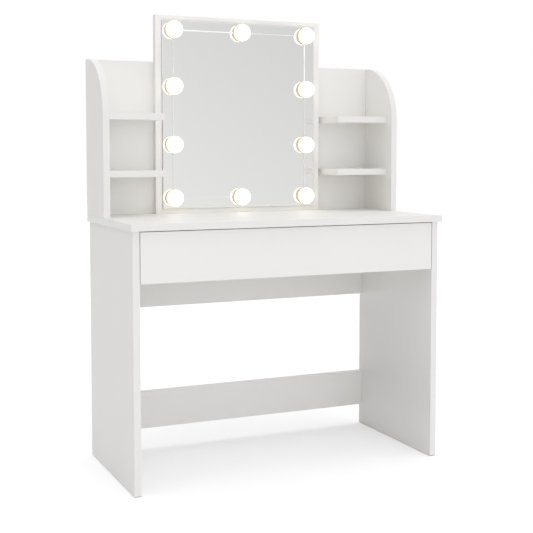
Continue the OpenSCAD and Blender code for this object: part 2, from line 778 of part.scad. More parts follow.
module cabinet_runner(side) {
    color(STEEL_WHITE) difference() {
        on_side(side) runner_frame() {
            along_y(runner_front_y, runner_front_y + drawer_d) cabinet_runner_section();
            roller_rivet(cabinet_roller_y, steel_t, roller_u1 + roller_gap + rivet_head_t);
            intersection() {
                rod([roller_u0, stop_y, steel_t], RIGHT, stop_r, roller_u1 - roller_u0);
                box([0, stop_y - stop_r, steel_t], [runner_space, stop_y + stop_r, steel_t + stop_r]);
            }
        }
        for (screw = cabinet_runner_screw_places(side)) wood_screw_form(screw, runner_screw_l);
        on_side(side) for (y = cabinet_slot_ys) spare_slot(0, y, runner_screw_z, 0);
    }
}

module cabinet_runner_left() { cabinet_runner(-1); }
module cabinet_runner_right() { cabinet_runner(1); }

module drawer_runner(side) {
    color(STEEL_WHITE) difference() {
        on_side(side) runner_frame() {
            along_y(front_rear_y, drawer_rear_y) drawer_runner_web();
            along_y(front_rear_y, drawer_roller_y - roller_inset) drawer_runner_rail();
            roller_rivet(drawer_roller_y, runner_space - steel_t, roller_u0 - roller_gap - rivet_head_t);
        }
        for (screw = drawer_runner_screw_places(side)) wood_screw_form(screw, drawer_runner_screw_l);
        on_side(side) for (y = drawer_slot_ys) spare_slot(runner_space - steel_t, y, drawer_screw_z, 1);
    }
}

module drawer_runner_left() { drawer_runner(-1); }
module drawer_runner_right() { drawer_runner(1); }

// Nylon roller with rounded rims and a recess round its hub on each face
module roller(side, y) {
    w = roller_u1 - roller_u0;
    bore_r = rivet_r + rivet_play;
    color(NYLON) on_side(side) runner_frame() translate([roller_u0, y, roller_v]) rotate([0, 90, 0])
        rotate_extrude() difference() {
            union() {
                translate([bore_r, 0]) square([roller_r - roller_rim_round - bore_r, w]);
                translate([bore_r, roller_rim_round]) square([roller_r - bore_r, w - 2 * roller_rim_round]);
                for (h = [roller_rim_round, w - roller_rim_round])
                    translate([roller_r - roller_rim_round, h]) circle(r = roller_rim_round);
            }
            for (h = [0, w - roller_recess])
                translate([roller_hub_r, h])
                    square([roller_r - roller_hub_r - roller_rim_w, roller_recess]);
        }
}

module cabinet_roller_left() { roller(-1, cabinet_roller_y); }
module cabinet_roller_right() { roller(1, cabinet_roller_y); }
module drawer_roller_left() { roller(-1, drawer_roller_y); }
module drawer_roller_right() { roller(1, drawer_roller_y); }

// ---------------------------------------------------------------- drawer

// Space that the drawer bottom slides into, all round
module bottom_groove() {
    box([-drawer_in_x - groove_depth - groove_play, front_rear_y - groove_depth - groove_play, groove_z],
        [drawer_in_x + groove_depth + groove_play, drawer_rear_y + overcut,
         groove_z + drawer_bottom_t + groove_play]);
}

module drawer_front() {
    x = leg_in_x - front_gap_side;
    color(MELAMINE) drilled(drawer_front_cams(), drawer_front_dowels()) difference() {
        box([-x, leg_front_y, drawer_front_z], [x, front_rear_y, drawer_front_z + drawer_front_h]);
        bottom_groove();
    }
}

module drawer_side(side) {
    color(MELAMINE) difference() {
        drilled(drawer_front_cams(), drawer_front_dowels(),
                screws = drawer_back_screws(), screw_l = drawer_back_screw_l)
            on_side(side) box([-drawer_out_x, front_rear_y, drawer_side_z],
                              [-drawer_in_x, drawer_rear_y, drawer_side_z + drawer_side_h]);
        bottom_groove();
        for (screw = drawer_runner_screw_places(side)) wood_screw_form(screw, drawer_runner_screw_l);
    }
}

module drawer_side_left() { drawer_side(-1); }
module drawer_side_right() { drawer_side(1); }

// The back board stands on the bottom
module drawer_back() {
    color(MELAMINE) difference() {
        drilled(screws = drawer_back_screws(), screw_l = drawer_back_screw_l)
            box([-drawer_in_x, drawer_rear_y - drawer_wall, groove_z + drawer_bottom_t],
                [drawer_in_x, drawer_rear_y, drawer_side_z + drawer_side_h]);
        for (screw = drawer_bottom_screws()) wood_screw_form(screw, bottom_screw_l);
    }
}

module drawer_bottom() {
    color(HARDBOARD) drilled(screws = drawer_bottom_screws(), screw_l = bottom_screw_l)
        box([-drawer_in_x - groove_depth, front_rear_y - groove_depth, groove_z],
            [drawer_in_x + groove_depth, drawer_rear_y, groove_z + drawer_bottom_t]);
}

module drawer_cams() {
    color(ZINC) for (fit = drawer_front_cams()) cam_housing(fit);
}

module drawer_cam_bolts() {
    color(ZINC) for (fit = drawer_front_cams()) cam_bolt(fit);
}

module drawer_dowels() {
    color(BEECH) for (peg = drawer_front_dowels()) dowel(peg);
}

module drawer_screws() {
    color(ZINC) {
        for (side = [-1, 1], screw = drawer_runner_screw_places(side)) {
            wood_screw(screw, drawer_runner_screw_l);
        }
        for (screw = drawer_back_screws()) wood_screw(screw, drawer_back_screw_l);
        for (screw = drawer_bottom_screws()) wood_screw(screw, bottom_screw_l);
    }
}

// ---------------------------------------------------------------- nodes

tabletop();
leg_panel_left();
leg_panel_right();
upper_back_rail();
lower_back_rail();
hutch_side_left();
hutch_side_right();
hutch_back_panel();
mirror_board();
mirror_glass();
shelf_left_lower();
shelf_left_upper();
shelf_right_lower();
shelf_right_upper();
for (i = [1 : LAMP_COUNT]) {
    lamp_base(i - 1);
    lamp_globe(i - 1);
}
lamp_led_boards();
lamp_pads();
lamp_wires();
cam_housings();
cam_bolts();
wood_dowels();
confirmat_screws();
mirror_board_screws();
cabinet_runner_left();
cabinet_runner_right();
cabinet_runner_screws();
cabinet_roller_left();
cabinet_roller_right();
drawer_front();
drawer_side_left();
drawer_side_right();
drawer_back();
drawer_bottom();
drawer_runner_left();
drawer_runner_right();
drawer_roller_left();
drawer_roller_right();
drawer_cams();
drawer_cam_bolts();
drawer_dowels();
drawer_screws();
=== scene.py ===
"""Vanity table with a lit mirror: finishes, bevelled boards, lamps, runners and studio.

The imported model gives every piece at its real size, in metres, with the front towards -Y.
Boards are rebuilt from it with rounded, edge-banded edges; the other pieces keep their
shape and are dressed in the finishes below.
"""
import json
import logging
import math
from dataclasses import dataclass
from enum import Enum, IntEnum
from typing import Any

import bmesh
import bpy
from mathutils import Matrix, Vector

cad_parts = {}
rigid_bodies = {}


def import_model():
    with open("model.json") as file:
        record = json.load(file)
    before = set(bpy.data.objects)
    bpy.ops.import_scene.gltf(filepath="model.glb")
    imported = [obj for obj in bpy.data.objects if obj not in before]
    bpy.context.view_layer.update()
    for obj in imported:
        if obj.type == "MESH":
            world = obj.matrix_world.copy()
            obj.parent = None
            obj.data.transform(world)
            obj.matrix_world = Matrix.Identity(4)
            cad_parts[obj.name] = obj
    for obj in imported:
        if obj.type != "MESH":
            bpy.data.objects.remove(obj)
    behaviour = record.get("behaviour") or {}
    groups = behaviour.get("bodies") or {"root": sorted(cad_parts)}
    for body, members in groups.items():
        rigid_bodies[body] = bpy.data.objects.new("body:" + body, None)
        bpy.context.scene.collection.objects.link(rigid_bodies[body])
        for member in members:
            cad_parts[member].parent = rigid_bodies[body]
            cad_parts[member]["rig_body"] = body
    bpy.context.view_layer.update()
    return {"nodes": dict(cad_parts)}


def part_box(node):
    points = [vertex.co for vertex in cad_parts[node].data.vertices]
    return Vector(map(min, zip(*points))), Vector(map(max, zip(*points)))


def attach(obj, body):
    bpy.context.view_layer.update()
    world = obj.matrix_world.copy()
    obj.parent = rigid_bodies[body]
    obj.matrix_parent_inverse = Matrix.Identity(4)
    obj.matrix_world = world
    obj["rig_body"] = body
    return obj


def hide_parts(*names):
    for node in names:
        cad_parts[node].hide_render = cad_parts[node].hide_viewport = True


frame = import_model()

LOG = logging.getLogger("vanity_table")

MM = 0.001
WHITE = "FFFFFF"
# A face looks mostly along an axis when its normal has more than this much of it.
MOSTLY = 0.5
# Faces that meet at more than this angle keep a crisp line between them.
CRISP = math.radians(35)


class Side(Enum):
    """The side of the table, as the sitter sees it."""

    LEFT = "left"
    RIGHT = "right"


class Row(Enum):
    """The height of a shelf."""

    LOWER = "lower"
    UPPER = "upper"


class Edge(Enum):
    """How a board's narrow faces are finished."""

    BANDED = "banded"
    RAW_BELOW = "raw below"


class Layer(IntEnum):
    """What a board shows, by its material slot."""

    FACE = 0
    BANDING = 1
    CORE = 2


class Sheath(Enum):
    """The two kinds of cable between the lamps."""

    WHITE = "white"
    CLEAR = "clear"


# ---------------------------------------------------------------- shader helpers


def linear(hex_code: str) -> tuple[float, float, float, float]:
    """Turns an sRGB colour into the linear colour that a shader takes.

    Args:
        hex_code: six hexadecimal digits, such as "EDECEA".

    Returns:
        Red, green, blue and an alpha of 1, all linear.
    """
    channels = [int(hex_code[i:i + 2], 16) / 255 for i in (0, 2, 4)]
    return (*[c / 12.92 if c <= 0.04045 else ((c + 0.055) / 1.055) ** 2.4 for c in channels], 1.0)


def add_node(tree: bpy.types.NodeTree, kind: str, **values: Any) -> bpy.types.Node:
    """Adds a node to a tree, with its settings and its links.

    Args:
        tree: the tree of a material or world.
        kind: the node's type without its "ShaderNode" prefix.
        values: properties of the node by name, or inputs by name with underscores for
            spaces, or by "in0", "in1" and so on. An output socket is linked, and anything
            else is set.

    Returns:
        The new node.
    """
    node = tree.nodes.new("ShaderNode" + kind)
    for name, value in values.items():
        if hasattr(node, name):
            setattr(node, name, value)
            continue
        key = int(name[2:]) if name[:2] == "in" and name[2:].isdigit() else name.replace("_", " ")
        socket = node.inputs[key]
        if isinstance(value, bpy.types.NodeSocket):
            tree.links.new(value, socket)
        else:
            socket.default_value = value
    return node


def directly_seen(tree: bpy.types.NodeTree) -> bpy.types.NodeSocket:
    """Tells what the eye sees apart from the light that falls on things.

    Args:
        tree: the tree of a material or world.

    Returns:
        A number that is 1 for what is seen, reflected or seen through glass, and 0 for light.
    """
    path = add_node(tree, "LightPath")
    seen = path.outputs["Is Camera Ray"]
    for ray in ("Is Glossy Ray", "Is Transmission Ray"):
        either = add_node(tree, "Math", operation="MAXIMUM", in0=seen, in1=path.outputs[ray])
        seen = either.outputs[0]
    return seen


@dataclass(frozen=True)
class Coat:
    """A material in the making: its nodes, its shader and the point on the piece.

    The point is in metres and is the same at every pose, so patterns keep their real size.
    """

    tree: bpy.types.NodeTree
    surface: bpy.types.Node
    place: bpy.types.NodeSocket

    def pattern(self, kind: str, size_mm: float, **values: Any) -> bpy.types.Node:
        """Adds a texture of any kind, scaled so that one of its features measures size_mm."""
        return add_node(self.tree, kind, Vector=self.place, Scale=1 / (size_mm * MM), **values)

    def all_over(self, **values: Any) -> None:
        """Sets sockets of the shader, by name, to what is the same all over the surface."""
        for name, value in values.items():
            self.surface.inputs[name.replace("_", " ")].default_value = value

    def vary(self, pattern: bpy.types.NodeSocket, colour: tuple[str, str] | None = None,
             glow: tuple[str, str] | None = None, roughness: tuple[float, float] | None = None,
             depth_mm: float | None = None) -> None:
        """Lets a pattern change the surface from place to place.

        Args:
            pattern: a number from 0 to 1.
            colour: the hex colours of the surface where the pattern is 0 and 1.
            glow: the hex colours of its own light there.
            roughness: its roughness there.
            depth_mm: how far the surface at 1 stands above the surface at 0.
        """
        changed = {}
        for socket, pair in (("Base Color", colour), ("Emission Color", glow)):
            if pair:
                tint = add_node(self.tree, "Mix", data_type="RGBA", in0=pattern,
                                in6=linear(pair[0]), in7=linear(pair[1]))
                changed[socket] = tint.outputs[2]
        if roughness:
            gloss = add_node(self.tree, "MapRange", Value=pattern,
                             To_Min=roughness[0], To_Max=roughness[1])
            changed["Roughness"] = gloss.outputs["Result"]
        if depth_mm:
            relief = add_node(self.tree, "Bump", Height=pattern, Strength=1.0,
                              Distance=depth_mm * MM)
            changed["Normal"] = relief.outputs["Normal"]
        for socket, value in changed.items():
            self.tree.links.new(value, self.surface.inputs[socket])


@dataclass(frozen=True)
class Finish:
    """A surface finish. Each kind says in shade() what its material looks like."""

    name: str

    def material(self) -> bpy.types.Material:
        """Makes the finish's material when it is first asked for.

        Returns:
            The one material of this finish.
        """
        made = bpy.data.materials.get(self.name)
        if made:
            return made
        made = bpy.data.materials.new(self.name)
        made.use_nodes = True
        tree = made.node_tree
        place = add_node(tree, "TexCoord").outputs["Object"]
        self.shade(Coat(tree, tree.nodes["Principled BSDF"], place))
        return made

    def shade(self, coat: Coat) -> None:
        """Builds the material.

        Args:
            coat: the material in the making.
        """
        raise NotImplementedError


# ---------------------------------------------------------------- finishes


@dataclass(frozen=True)
class Melamine(Finish):
    """Resin-soaked decor paper, hot-pressed on chipboard against a pearl-textured plate.

    The plate leaves a fine pebble that breaks the gloss into a soft satin sheen, and the
    white under it is even, with only a trace of cloud from board to board. The real pebble
    is about 0.3 mm wide, and is drawn coarser so that it still shows from a step away.
    """

    paper: str = "F6F5F3"
    cloud: str = "F2F1EE"
    roughness: float = 0.48
    unevenness: float = 0.04
    pebble_mm: float = 1.1
    pebble_depth_mm: float = 0.012
    cloud_mm: float = 260.0

    def shade(self, coat: Coat) -> None:
        """Builds satin white with a fine pebble.

        Args:
            coat: the material in the making.
        """
        cloud = coat.pattern("TexNoise", self.cloud_mm, Detail=4.0)
        coat.vary(cloud.outputs["Fac"], colour=(self.cloud, self.paper),
                  roughness=(self.roughness - self.unevenness, self.roughness + self.unevenness))
        pebble = coat.pattern("TexNoise", self.pebble_mm, Detail=2.0)
        coat.vary(pebble.outputs["Fac"], depth_mm=self.pebble_depth_mm)


@dataclass(frozen=True)
class EdgeBanding(Finish):
    """ABS strip, 1 mm thick, glued round a board and scraped to a small radius.

    It is smoother and a little shinier than the faces, with faint scraper chatter, so the
    rounded corners catch a thin bright line.
    """

    plastic: str = "F1F0EE"
    roughness: float = 0.36
    unevenness: float = 0.05
    chatter_mm: float = 2.4
    chatter_depth_mm: float = 0.006

    def shade(self, coat: Coat) -> None:
        """Builds smooth white plastic with faint chatter marks.

        Args:
            coat: the material in the making.
        """
        coat.all_over(Base_Color=linear(self.plastic))
        chatter = coat.pattern("TexNoise", self.chatter_mm, Detail=3.0)
        coat.vary(chatter.outputs["Fac"], depth_mm=self.chatter_depth_mm,
                  roughness=(self.roughness - self.unevenness, self.roughness + self.unevenness))


@dataclass(frozen=True)
class RawChipboard(Finish):
    """Sawn or drilled chipboard core: tan chips of 1 to 3 mm in darker resin, quite matt."""

    chip: str = "D2B48A"
    resin: str = "9C7A50"
    roughness: float = 0.9
    chip_mm: float = 2.2
    pit_depth_mm: float = 0.25

    def shade(self, coat: Coat) -> None:
        """Builds packed chips, each with its own tone, and pits between them.

        Args:
            coat: the material in the making.
        """
        coat.all_over(Roughness=self.roughness)
        chips = coat.pattern("TexVoronoi", self.chip_mm)
        tone = add_node(coat.tree, "SeparateColor", Color=chips.outputs["Color"])
        coat.vary(tone.outputs[0], colour=(self.resin, self.chip))
        coat.vary(tone.outputs[1], depth_mm=self.pit_depth_mm)


@dataclass(frozen=True)
class SilveredGlass(Finish):
    """Float glass, silvered behind, with ground and polished edges.

    The front mirrors the room with the faint green-grey loss of 4 mm glass. The narrow edge round
    it is painted near-black green-grey: partly the tone of the glass's own depth, and partly
    painted shade of the gap beside it.
    """

    silver: str = "F4F4F2"
    edge: str = "39413E"
    clean: float = 0.012
    smeared: float = 0.036
    smear_mm: float = 90.0

    def shade(self, coat: Coat) -> None:
        """Builds a mirror on the faces that look forwards, and plain glass on the edges.

        Args:
            coat: the material in the making.
        """
        normal = add_node(coat.tree, "NewGeometry").outputs["True Normal"]
        facing = add_node(coat.tree, "SeparateXYZ", Vector=normal)
        ahead = add_node(coat.tree, "Math", operation="LESS_THAN",
                         in0=facing.outputs["Y"], in1=-MOSTLY)
        # The edges take a near-black colour: the glass's depth tone, with painted shade of the gap
        # beside it.
        coat.vary(ahead.outputs[0], colour=(self.edge, self.silver))
        coat.tree.links.new(ahead.outputs[0], coat.surface.inputs["Metallic"])
        smear = coat.pattern("TexNoise", self.smear_mm, Detail=5.0, Roughness=0.7)
        coat.vary(smear.outputs["Fac"], roughness=(self.clean, self.smeared))


@dataclass(frozen=True)
class OpalGlobe(Finish):
    """Blown opal acrylic, lit from inside by warm white LEDs.

    It glows evenly to the eye and is a touch warmer towards its back, where the light
    has run further through the wall. back_y and front_y are where the globe begins and
    ends, and warm_share is how much of that depth looks warmer.
    """

    back_y: float
    front_y: float
    warm_share: float = 0.4
    acrylic: str = "F6F3EA"
    front_glow: str = "FFF6E8"
    back_glow: str = "FFEDD4"
    glow: float = 1.5
    roughness: float = 0.18
    ior: float = 1.49
    ripple_mm: float = 14.0
    ripple_depth_mm: float = 0.05

    def shade(self, coat: Coat) -> None:
        """Builds a glossy wall that gives off light, warmer near its back.

        Args:
            coat: the material in the making.
        """
        coat.all_over(Base_Color=linear(self.acrylic), Roughness=self.roughness, IOR=self.ior,
                      Emission_Strength=self.glow)
        depth = add_node(coat.tree, "SeparateXYZ", Vector=coat.place)
        warm_end = self.back_y + self.warm_share * (self.front_y - self.back_y)
        forward = add_node(coat.tree, "MapRange", Value=depth.outputs["Y"],
                           From_Min=self.back_y, From_Max=warm_end, To_Min=0.0, To_Max=1.0)
        coat.vary(forward.outputs["Result"], glow=(self.back_glow, self.front_glow))
        ripple = coat.pattern("TexNoise", self.ripple_mm, Detail=1.0)
        coat.vary(ripple.outputs["Fac"], depth_mm=self.ripple_depth_mm)


@dataclass(frozen=True)
class LampMoulding(Finish):
    """Injection-moulded tan ABS, spark-eroded: a soft satin with a fine even grain.

    Its tan colour is painted warm light from the lamp on its base, and the light it gives off is a
    painted glow.
    The real grain is about 0.1 mm wide, and is drawn coarser so that it still shows.
    """

    plastic: str = "D9C7A8"
    flow: str = "CFBC9C"
    painted_glow_tint: str = "E6D2B0"
    painted_glow_strength: float = 0.26
    roughness: float = 0.4
    ior: float = 1.54
    flow_mm: float = 12.0
    grain_mm: float = 0.8
    grain_depth_mm: float = 0.01

    def shade(self, coat: Coat) -> None:
        """Builds satin plastic with faint flow marks and a fine grain.

        Args:
            coat: the material in the making.
        """
        # The tan colour and the glow are painted warm light from the lamp.
        coat.all_over(Roughness=self.roughness, IOR=self.ior,
                      Emission_Color=linear(self.painted_glow_tint), Emission_Strength=self.painted_glow_strength)
        flow = coat.pattern("TexNoise", self.flow_mm, Detail=2.0)
        coat.vary(flow.outputs["Fac"], colour=(self.flow, self.plastic))
        grain = coat.pattern("TexNoise", self.grain_mm, Detail=2.0)
        coat.vary(grain.outputs["Fac"], depth_mm=self.grain_depth_mm)


@dataclass(frozen=True)
class CableSheath(Finish):
    """Extruded soft PVC, satin from the die, either white or clear over a silvery core.

    A clear run nearly vanishes against the mirror, because light from it comes through. Both kinds
    give off a faint painted glow.
    """

    sheath: str = "FBFBF9"
    cover: float = 1.0
    painted_cable_glow: float = 0.17
    crest: float = 0.3
    hollow: float = 0.4
    ior: float = 1.53
    wave_mm: float = 18.0
    wave_depth_mm: float = 0.01

    def shade(self, coat: Coat) -> None:
        """Builds satin plastic with the long, low waves of a cable off its reel.

        Args:
            coat: the material in the making.
        """
        # The emission is a painted glow that lightens the cable.
        coat.all_over(Base_Color=linear(self.sheath), Alpha=self.cover, IOR=self.ior,
                      Emission_Color=linear(self.sheath), Emission_Strength=self.painted_cable_glow)
        wave = coat.pattern("TexNoise", self.wave_mm, Detail=2.0)
        coat.vary(wave.outputs["Fac"], roughness=(self.crest, self.hollow),
                  depth_mm=self.wave_depth_mm)


@dataclass(frozen=True)
class FoamTape(Finish):
    """Closed-cell polyethylene foam: off-white, matt, with small open cells on its cut edge."""

    foam: str = "D9D7D0"
    cell: str = "B5B2A8"
    roughness: float = 0.95
    cell_mm: float = 0.7
    cell_depth_mm: float = 0.15

    def shade(self, coat: Coat) -> None:
        """Builds matt foam with darker cells.

        Args:
            coat: the material in the making.
        """
        coat.all_over(Roughness=self.roughness)
        cells = coat.pattern("TexVoronoi", self.cell_mm)
        coat.vary(cells.outputs["Distance"], colour=(self.cell, self.foam),
                  depth_mm=self.cell_depth_mm)


@dataclass(frozen=True)
class CircuitBoard(Finish):
    """Aluminium-core board with white solder mask and yellow phosphor LEDs standing on it.

    The lacquer is glossy, and has levelled out in low, wide ripples. chips_front_y and
    board_front_y are where the LEDs and the board itself begin.
    """

    chips_front_y: float
    board_front_y: float
    mask: str = "EDEFEA"
    phosphor: str = "E9C948"
    roughness: float = 0.3
    ripple_mm: float = 5.0
    ripple_depth_mm: float = 0.02

    def shade(self, coat: Coat) -> None:
        """Builds glossy white lacquer, and yellow on what stands in front of the board.

        Args:
            coat: the material in the making.
        """
        coat.all_over(Roughness=self.roughness)
        depth = add_node(coat.tree, "SeparateXYZ", Vector=coat.place)
        middle = (self.chips_front_y + self.board_front_y) / 2
        chip = add_node(coat.tree, "Math", operation="LESS_THAN",
                        in0=depth.outputs["Y"], in1=middle)
        coat.vary(chip.outputs[0], colour=(self.mask, self.phosphor))
        ripple = coat.pattern("TexNoise", self.ripple_mm, Detail=1.0)
        coat.vary(ripple.outputs["Fac"], depth_mm=self.ripple_depth_mm)


@dataclass(frozen=True)
class ZincPlating(Finish):
    """Steel with a bright zinc plating: cool grey metal with a faint blue and yellow cast."""

    cool: str = "AEB3BA"
    warm: str = "BDB9AC"
    bright: float = 0.22
    dull: float = 0.42
    stain_mm: float = 6.0

    def shade(self, coat: Coat) -> None:
        """Builds bright metal whose passivation shifts slowly between cool and warm.

        Args:
            coat: the material in the making.
        """
        coat.all_over(Metallic=1.0)
        stain = coat.pattern("TexNoise", self.stain_mm, Detail=4.0)
        coat.vary(stain.outputs["Fac"], colour=(self.cool, self.warm),
                  roughness=(self.bright, self.dull))


@dataclass(frozen=True)
class DieCastZinc(ZincPlating):
    """Die-cast zinc alloy: duller and greyer than plating, with the mould's fine grain.

    The real grain is about 0.1 mm wide, and is drawn coarser so that it still shows.
    """

    cool: str = "92959A"
    warm: str = "A09E99"
    bright: float = 0.34
    dull: float = 0.54
    grain_mm: float = 0.6
    grain_depth_mm: float = 0.04

    def shade(self, coat: Coat) -> None:
        """Builds cast metal: the plating's tones with a grain over them.

        Args:
            coat: the material in the making.
        """
        super().shade(coat)
        grain = coat.pattern("TexNoise", self.grain_mm, Detail=3.0)
        coat.vary(grain.outputs["Fac"], depth_mm=self.grain_depth_mm)


@dataclass(frozen=True)
class Beech(Finish):
    """Turned beech dowel: pale pinkish tan, with short dark flecks along the grain."""

    pale: str = "D9B98E"
    fleck: str = "A67F54"
    roughness: float = 0.7
    fleck_mm: float = 0.9
    fleck_depth_mm: float = 0.05

    def shade(self, coat: Coat) -> None:
        """Builds dry wood with small flecks.

        Args:
            coat: the material in the making.
        """
        coat.all_over(Roughness=self.roughness)
        flecks = coat.pattern("TexNoise", self.fleck_mm, Detail=5.0)
        coat.vary(flecks.outputs["Fac"], colour=(self.fleck, self.pale),
                  depth_mm=self.fleck_depth_mm)


@dataclass(frozen=True)
class PowderCoat(Finish):
    """White epoxy powder baked on folded steel: glossy, with a soft orange peel."""

    crest: str = "E9E9E7"
    hollow: str = "E2E2DF"
    roughness: float = 0.25
    peel_mm: float = 3.5
    peel_depth_mm: float = 0.03

    def shade(self, coat: Coat) -> None:
        """Builds glossy paint with orange peel.

        Args:
            coat: the material in the making.
        """
        coat.all_over(Roughness=self.roughness)
        peel = coat.pattern("TexNoise", self.peel_mm, Detail=2.0)
        coat.vary(peel.outputs["Fac"], colour=(self.hollow, self.crest),
                  depth_mm=self.peel_depth_mm)


@dataclass(frozen=True)
class Nylon(Finish):
    """Moulded natural nylon: milky, a little translucent, with a waxy sheen."""

    milk: str = "DDDBD2"
    flow: str = "CFCCC0"
    roughness: float = 0.45
    ior: float = 1.53
    translucence: float = 0.2
    light_reach_mm: float = 1.5
    flow_mm: float = 7.0
    flow_depth_mm: float = 0.03

    def shade(self, coat: Coat) -> None:
        """Builds milky plastic with flow marks.

        Args:
            coat: the material in the making.
        """
        coat.all_over(Roughness=self.roughness, IOR=self.ior,
                      Subsurface_Weight=self.translucence,
                      Subsurface_Scale=self.light_reach_mm * MM)
        flow = coat.pattern("TexNoise", self.flow_mm, Detail=3.0)
        coat.vary(flow.outputs["Fac"], colour=(self.flow, self.milk), depth_mm=self.flow_depth_mm)


@dataclass(frozen=True)
class Hardboard(Finish):
    """Wet-pressed fibreboard with a white foil above and white primer below.

    The foiled face is smooth and satin. The primed face is matt, and still shows the
    imprint of the wire screen that it was pressed on.
    """

    foil: str = "EEEDEA"
    primer: str = "E4E2DC"
    foil_roughness: float = 0.35
    primer_roughness: float = 0.8
    screen_mm: float = 2.0
    screen_depth_mm: float = 0.2

    def shade(self, coat: Coat) -> None:
        """Builds foil where the sheet looks up, and screen-marked primer elsewhere.

        Args:
            coat: the material in the making.
        """
        normal = add_node(coat.tree, "NewGeometry").outputs["True Normal"]
        facing = add_node(coat.tree, "SeparateXYZ", Vector=normal)
        up = add_node(coat.tree, "Math", operation="GREATER_THAN",
                      in0=facing.outputs["Z"], in1=MOSTLY)
        coat.vary(up.outputs[0], colour=(self.primer, self.foil),
                  roughness=(self.primer_roughness, self.foil_roughness))
        screen = coat.pattern("TexVoronoi", self.screen_mm, Randomness=0.0)
        below = add_node(coat.tree, "Math", operation="SUBTRACT", in0=1.0, in1=up.outputs[0])
        imprint = add_node(coat.tree, "Math", operation="MULTIPLY",
                           in0=screen.outputs["Distance"], in1=below.outputs[0])
        coat.vary(imprint.outputs[0], depth_mm=self.screen_depth_mm)


MELAMINE = Melamine("melamine_pearl_white")
BANDING = EdgeBanding("abs_edge_banding_white")
CHIPBOARD = RawChipboard("chipboard_core")
MIRROR = SilveredGlass("silvered_float_glass")
FOAM = FoamTape("polyethylene_foam_tape")
# Lamp bases: tan painted warm light, with a painted glow.
PAINTED_WARM_LIGHT_MOULDING = LampMoulding("abs_lamp_moulding_painted_warm_light")
# Both sheaths give off a painted glow, the white one more than the clear one.
SHEATHS = {
    Sheath.WHITE: CableSheath("pvc_cable_white"),
    Sheath.CLEAR: CableSheath("pvc_cable_clear", sheath="F2F2F1", cover=0.6, painted_cable_glow=0.09),
}
ZINC = ZincPlating("zinc_plated_steel")
CAST_ZINC = DieCastZinc("die_cast_zinc")
BEECH = Beech("beech_dowel")
POWDER_COAT = PowderCoat("powder_coated_steel_white")
NYLON = Nylon("natural_nylon")
HARDBOARD = Hardboard("hardboard_white_foiled")


# ---------------------------------------------------------------- pieces


def dress(node: str, finish: Finish) -> None:
    """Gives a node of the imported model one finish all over.

    Args:
        node: the node's name.
        finish: the finish that it takes.
    """
    mesh = frame["nodes"][node].data
    mesh.materials.clear()
    mesh.materials.append(finish.material())
    LOG.info("%s takes %s", node, finish.name)


def new_object(name: str, work: bmesh.types.BMesh, *finishes: Finish) -> bpy.types.Object:
    """Puts a mesh in the making in the scene, shaded smooth between its crisp lines.

    Args:
        name: the new object's name.
        work: its mesh, which is used up.
        finishes: the finishes of its material slots, in order.

    Returns:
        The new object.
    """
    for face in work.faces:
        face.smooth = True
    mesh = bpy.data.meshes.new(name)
    work.to_mesh(mesh)
    work.free()
    mesh.set_sharp_from_angle(angle=CRISP)
    for finish in finishes:
        mesh.materials.append(finish.material())
    made = bpy.data.objects.new(name, mesh)
    bpy.context.scene.collection.objects.link(made)
    LOG.info("%s has %d faces", name, len(mesh.polygons))
    return made


